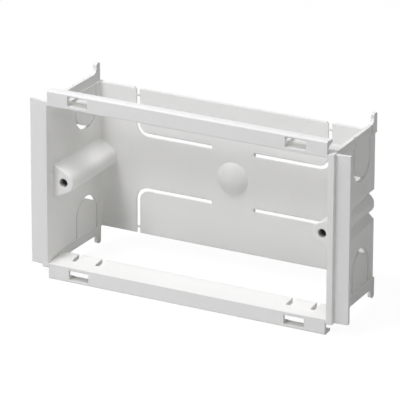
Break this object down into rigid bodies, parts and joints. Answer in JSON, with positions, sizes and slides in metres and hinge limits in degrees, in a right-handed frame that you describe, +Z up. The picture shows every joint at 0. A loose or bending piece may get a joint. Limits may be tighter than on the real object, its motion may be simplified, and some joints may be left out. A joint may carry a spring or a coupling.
{
  "type": "back box",
  "caption": "Shallow two-gang wall box for dado trunking, open above and below, with screw bosses, slotted back plate and snap-in front rails.",
  "frame": {"origin": "midway between the two accessory screw holes, on the front faces of their bosses", "axes": "+X across the box to the right as seen from the front, +Y from the front into the wall, +Z up"},
  "size_m": [0.1484, 0.045, 0.0842],
  "materials": {
    "white_plastic": "satin white moulding"
  },
  "bodies": {
    "root": {"back_box": "white_plastic"}
  },
  "joints": []
}
